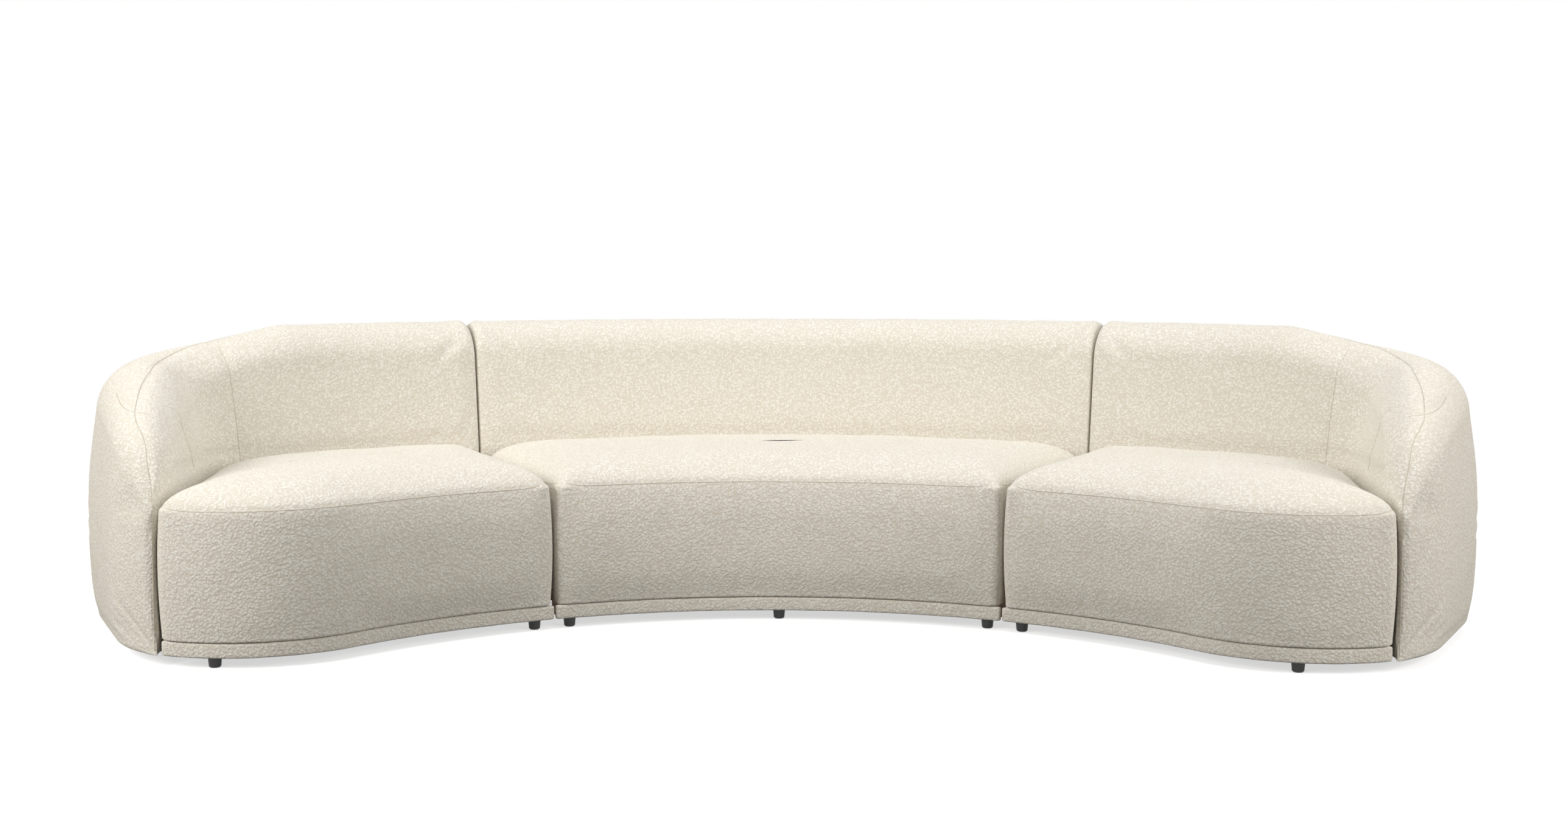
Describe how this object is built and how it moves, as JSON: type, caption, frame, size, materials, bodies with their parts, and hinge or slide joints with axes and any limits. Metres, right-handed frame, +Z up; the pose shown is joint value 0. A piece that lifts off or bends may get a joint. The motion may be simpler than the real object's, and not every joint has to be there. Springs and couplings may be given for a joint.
{
  "type": "curved modular sofa",
  "caption": "Low curved sofa in nubby fabric: an armless centre seat between end seats whose backs wrap round into rounded arms, on short feet.",
  "frame": {"origin": "on the floor under the middle of the three joined modules", "axes": "+X to the right seen from the front, the front faces -Y, +Z up"},
  "size_m": [3.5312, 1.5478, 0.76],
  "materials": {
    "boucle": "matte",
    "foam": "matte",
    "frame_wood": "matte",
    "webbing": "matte",
    "dust_cloth": "matte",
    "foot_plastic": "satin",
    "zinc_steel": "satin",
    "spring_steel": "satin"
  },
  "bodies": {
    "centre": {"centre_back_cover": "boucle", "centre_back_foam": "foam", "centre_back_ribs": "frame_wood", "centre_back_top_rail": "frame_wood", "centre_back_webbing": "webbing", "centre_base_band": "boucle", "centre_base_blocks": "frame_wood", "centre_connector_jaws": "zinc_steel", "centre_connector_screws": "zinc_steel", "centre_dust_cover": "dust_cloth", "centre_feet": "foot_plastic", "centre_foot_bolts": "zinc_steel", "centre_front_pad": "foam", "centre_front_rail": "frame_wood", "centre_rear_rail": "frame_wood", "centre_seat_cover": "boucle", "centre_seat_foam": "foam", "centre_seat_springs": "spring_steel", "centre_side_rails": "frame_wood", "centre_spring_clips": "zinc_steel"},
    "left": {"left_back_cover": "boucle", "left_back_foam": "foam", "left_back_ribs": "frame_wood", "left_back_top_rail": "frame_wood", "left_back_webbing": "webbing", "left_base_band": "boucle", "left_base_blocks": "frame_wood", "left_connector_screws": "zinc_steel", "left_connector_tongues": "zinc_steel", "left_dust_cover": "dust_cloth", "left_feet": "foot_plastic", "left_foot_bolts": "zinc_steel", "left_front_pad": "foam", "left_front_rail": "frame_wood", "left_rear_rail": "frame_wood", "left_seat_cover": "boucle", "left_seat_foam": "foam", "left_seat_springs": "spring_steel", "left_side_rails": "frame_wood", "left_spring_clips": "zinc_steel"},
    "right": {"right_back_cover": "boucle", "right_back_foam": "foam", "right_back_ribs": "frame_wood", "right_back_top_rail": "frame_wood", "right_back_webbing": "webbing", "right_base_band": "boucle", "right_base_blocks": "frame_wood", "right_connector_screws": "zinc_steel", "right_connector_tongues": "zinc_steel", "right_dust_cover": "dust_cloth", "right_feet": "foot_plastic", "right_foot_bolts": "zinc_steel", "right_front_pad": "foam", "right_front_rail": "frame_wood", "right_rear_rail": "frame_wood", "right_seat_cover": "boucle", "right_seat_foam": "foam", "right_seat_springs": "spring_steel", "right_side_rails": "frame_wood", "right_spring_clips": "zinc_steel"}
  },
  "joints": [
    {"name": "left_module_slide", "type": "slide", "parent": "centre", "child": "left", "axis": [-0.8963, -0.4435, 0], "range_m": [0, 0.3]},
    {"name": "right_module_slide", "type": "slide", "parent": "centre", "child": "right", "axis": [0.8963, -0.4435, 0], "range_m": [0, 0.3]}
  ]
}
